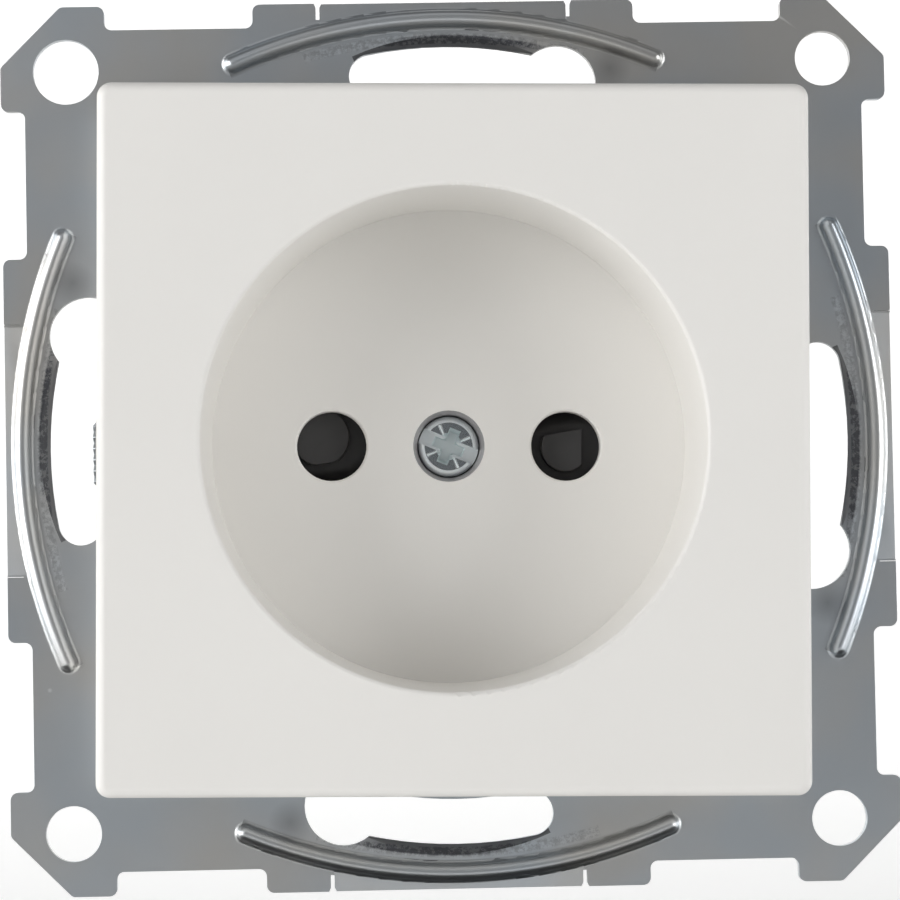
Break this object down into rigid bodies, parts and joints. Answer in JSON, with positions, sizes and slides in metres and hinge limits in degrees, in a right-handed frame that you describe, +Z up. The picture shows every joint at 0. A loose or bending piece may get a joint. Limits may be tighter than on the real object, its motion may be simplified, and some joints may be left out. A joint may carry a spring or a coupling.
{
  "type": "two-pole flush wall socket insert",
  "caption": "Recessed round wall socket insert without earth contacts: white square cover, shuttered pin holes, steel support frame and spreading claws.",
  "frame": {"origin": "centre of the wall plane, which is the support frame's rear face", "axes": "+X to the viewer's right, +Z up, +Y into the wall along the pins' insertion direction"},
  "size_m": [0.0706, 0.0395, 0.0706],
  "materials": {
    "cover_plastic": "satin moulded thermoplastic, warm white",
    "shutter_plastic": "near-black moulded plastic",
    "base_plastic": "light grey moulded plastic, fine spark-eroded grain",
    "contact_cover_plastic": "dark grey moulded plastic",
    "galvanised_sheet": "galvanised sheet steel, dull with bright rubbed ridges",
    "rivet_zinc": "zinc-plated steel",
    "screw_zinc": "blue-passivated zinc plating",
    "claw_zinc": "zinc-plated pressed steel",
    "spring_steel": "bright drawn spring steel",
    "contact_brass": "rolled brass strip"
  },
  "bodies": {
    "socket": {"support_frame": "galvanised_sheet", "frame_rivets": "rivet_zinc", "base_housing": "base_plastic", "contact_cover": "contact_cover_plastic", "centre_nut": "screw_zinc", "cover_plate": "cover_plastic", "cover_screw": "screw_zinc", "shutter_spring": "spring_steel", "shutter_guide": "shutter_plastic", "contact_right": "contact_brass", "contact_spring_right": "spring_steel", "claw_screw_right": "screw_zinc", "contact_left": "contact_brass", "contact_spring_left": "spring_steel", "claw_screw_left": "screw_zinc"},
    "shutter": {"shutter": "shutter_plastic"},
    "claw_nut_right": {"claw_nut_right": "claw_zinc"},
    "claw_right": {"claw_right": "claw_zinc"},
    "terminal_clamp_right": {"terminal_screw_right": "screw_zinc", "clamp_plate_right": "screw_zinc"},
    "claw_nut_left": {"claw_nut_left": "claw_zinc"},
    "claw_left": {"claw_left": "claw_zinc"},
    "terminal_clamp_left": {"terminal_screw_left": "screw_zinc", "clamp_plate_left": "screw_zinc"}
  },
  "joints": [
    {"name": "shutter_turn", "type": "hinge", "parent": "socket", "child": "shutter", "pos_m": [0, 0.009, 0], "axis": [0, 1, 0], "range_deg": [0, 38], "stiffness_Nm_per_rad": 0.002, "springref_deg": -20.05, "deforming": ["shutter_spring"]},
    {"name": "claw_pull_right", "type": "slide", "parent": "socket", "child": "claw_nut_right", "axis": [0, -1, 0], "range_m": [0, 0.008]},
    {"name": "claw_spread_right", "type": "hinge", "parent": "claw_nut_right", "child": "claw_right", "pos_m": [0.025, 0.022, 0], "axis": [0, 0, 1], "range_deg": [0, 20]},
    {"name": "terminal_clamp_right", "type": "slide", "parent": "socket", "child": "terminal_clamp_right", "axis": [0, 0, 1], "range_m": [0, 0.003]},
    {"name": "claw_pull_left", "type": "slide", "parent": "socket", "child": "claw_nut_left", "axis": [0, -1, 0], "range_m": [0, 0.008]},
    {"name": "claw_spread_left", "type": "hinge", "parent": "claw_nut_left", "child": "claw_left", "pos_m": [-0.025, 0.022, 0], "axis": [0, 0, -1], "range_deg": [0, 20]},
    {"name": "terminal_clamp_left", "type": "slide", "parent": "socket", "child": "terminal_clamp_left", "axis": [0, 0, 1], "range_m": [0, 0.003]}
  ],
  "couplings": [
    {"joint": "claw_spread_right", "follows": "claw_pull_right", "rad_per_m": 43.633},
    {"joint": "claw_spread_left", "follows": "claw_pull_left", "rad_per_m": 43.633}
  ]
}
